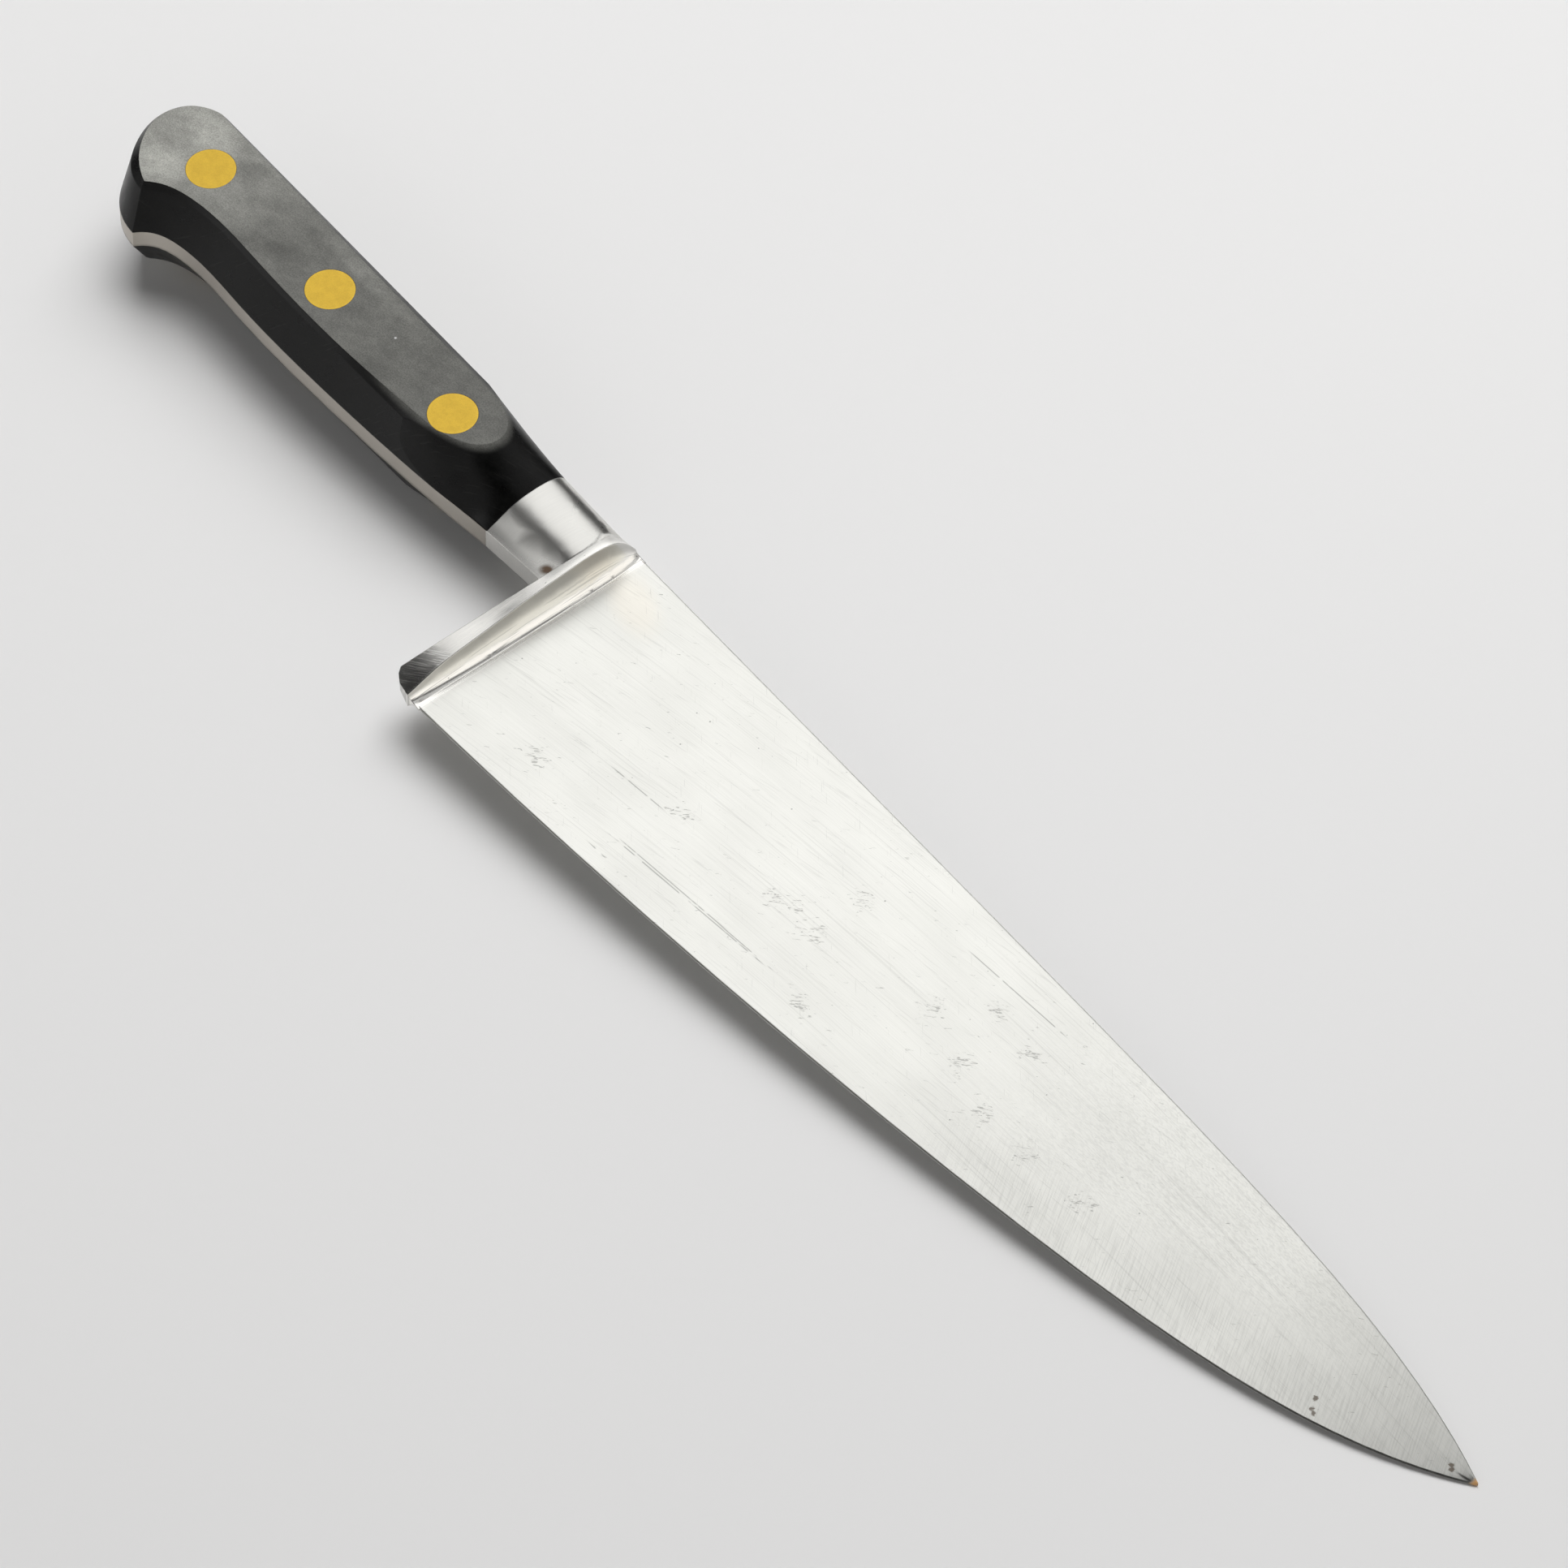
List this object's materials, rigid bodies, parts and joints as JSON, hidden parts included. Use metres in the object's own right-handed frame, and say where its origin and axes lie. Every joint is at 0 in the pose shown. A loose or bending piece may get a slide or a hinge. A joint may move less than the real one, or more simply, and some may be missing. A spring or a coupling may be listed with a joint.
{
  "type": "chef knife",
  "caption": "Forged French-pattern chef knife: wedge blade with a curved belly, integral bolster with finger guard, full tang and riveted black handle scales, for slicing and chopping food.",
  "frame": {"origin": "on the knife's mid-plane at the front of the bolster, where the heel of the blade starts, level with the row of rivets", "axes": "+X along the blade to the tip, +Y from the cutting edge to the spine, +Z out of the right-hand face, so that the knife lies flat; z = 0 is the mid-plane of blade and tang"},
  "size_m": [0.3891, 0.0533, 0.023],
  "materials": {
    "steel": "satin-ground blade flats with fine lengthwise scratches, polished bolster, softer satin on the tang edge",
    "scales": "black moulded scales, fine matt sheen on the flats, smoother sides",
    "rivets": "brass ground flush with the scales, satin"
  },
  "bodies": {
    "root": {"forged_blank": "steel", "scale_right": "scales", "scale_left": "scales", "butt_rivet_pin": "rivets", "butt_rivet_sleeve": "rivets", "middle_rivet_pin": "rivets", "middle_rivet_sleeve": "rivets", "front_rivet_pin": "rivets", "front_rivet_sleeve": "rivets"}
  },
  "joints": []
}
